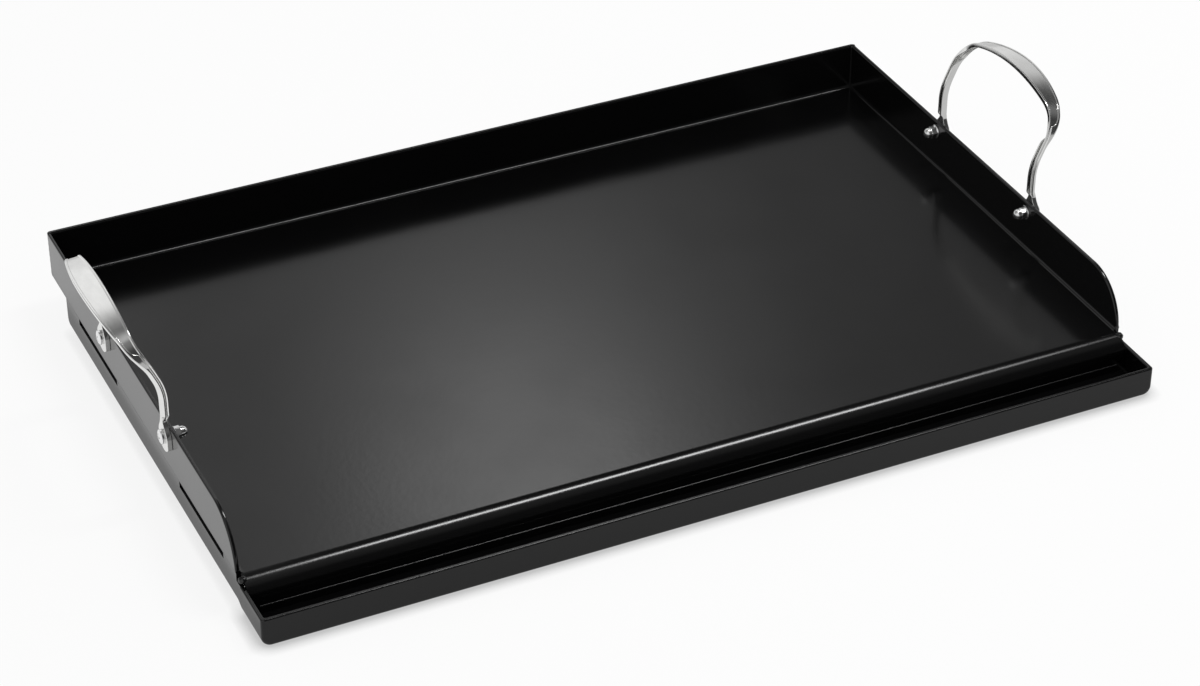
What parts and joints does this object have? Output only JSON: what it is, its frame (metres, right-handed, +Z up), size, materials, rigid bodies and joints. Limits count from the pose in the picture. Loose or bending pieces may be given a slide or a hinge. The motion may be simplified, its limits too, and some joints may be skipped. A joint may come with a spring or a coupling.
{
  "type": "camp griddle plate",
  "caption": "Flat rectangular griddle tray of coated steel with raised walls, a grease trough along its open front, vented side skirts and bolted stainless loop handles.",
  "frame": {"origin": "middle of the bounding box's bottom, in the plane of the trough's underside", "axes": "+X to the right as seen from the trough, +Y from the trough to the back wall, +Z up"},
  "size_m": [0.6992, 0.419, 0.1377],
  "materials": {
    "black_coating": "satin",
    "handle_steel": "brushed",
    "fastener_steel": "polished"
  },
  "bodies": {
    "root": {"griddle_tray": "black_coating", "grease_trough": "black_coating", "left_skirt": "black_coating", "right_skirt": "black_coating", "left_back_corner_weld": "black_coating", "right_back_corner_weld": "black_coating", "left_wall_foot_weld": "black_coating", "right_wall_foot_weld": "black_coating", "left_skirt_welds": "black_coating", "right_skirt_welds": "black_coating", "trough_seam_weld": "black_coating", "left_handle": "handle_steel", "right_handle": "handle_steel", "left_front_screw": "fastener_steel", "left_rear_screw": "fastener_steel", "right_front_screw": "fastener_steel", "right_rear_screw": "fastener_steel", "left_front_washer": "fastener_steel", "left_rear_washer": "fastener_steel", "right_front_washer": "fastener_steel", "right_rear_washer": "fastener_steel", "left_front_cap_nut": "fastener_steel", "left_rear_cap_nut": "fastener_steel", "right_front_cap_nut": "fastener_steel", "right_rear_cap_nut": "fastener_steel"}
  },
  "joints": []
}
